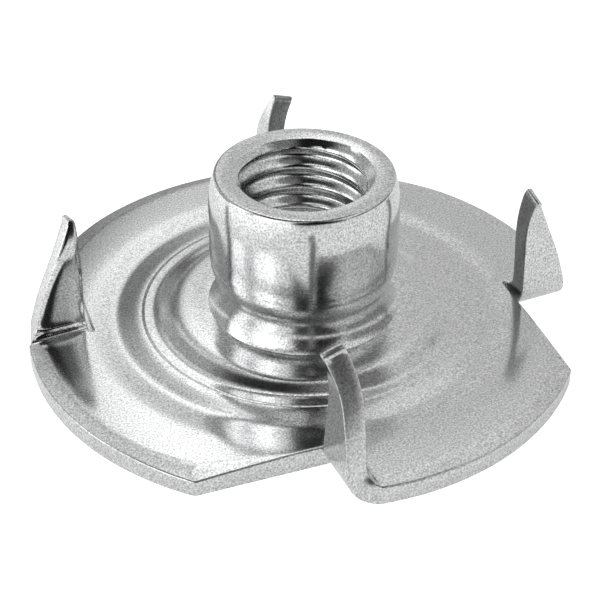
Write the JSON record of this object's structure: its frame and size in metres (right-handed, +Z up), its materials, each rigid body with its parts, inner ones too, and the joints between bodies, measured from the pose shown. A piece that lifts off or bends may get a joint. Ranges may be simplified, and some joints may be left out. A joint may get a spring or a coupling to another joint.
{
  "type": "tee nut",
  "caption": "Pressed sheet-metal tee nut: a round flange with a drawn, internally threaded barrel, and prongs folded up from its rim to bite into wood.",
  "frame": {"origin": "middle of the flange's underside, on the barrel's axis", "axes": "+Z up the barrel's axis, from the flange to the barrel's open mouth; the first fold line lies 25 degrees from +X"},
  "size_m": [0.0188, 0.0188, 0.0061],
  "materials": {
    "zinc_plated_steel": "bright zinc plating over pressed sheet steel, fine rolled grain, smooth on the drawn barrel"
  },
  "bodies": {
    "root": {"tee_nut": "zinc_plated_steel"}
  },
  "joints": []
}
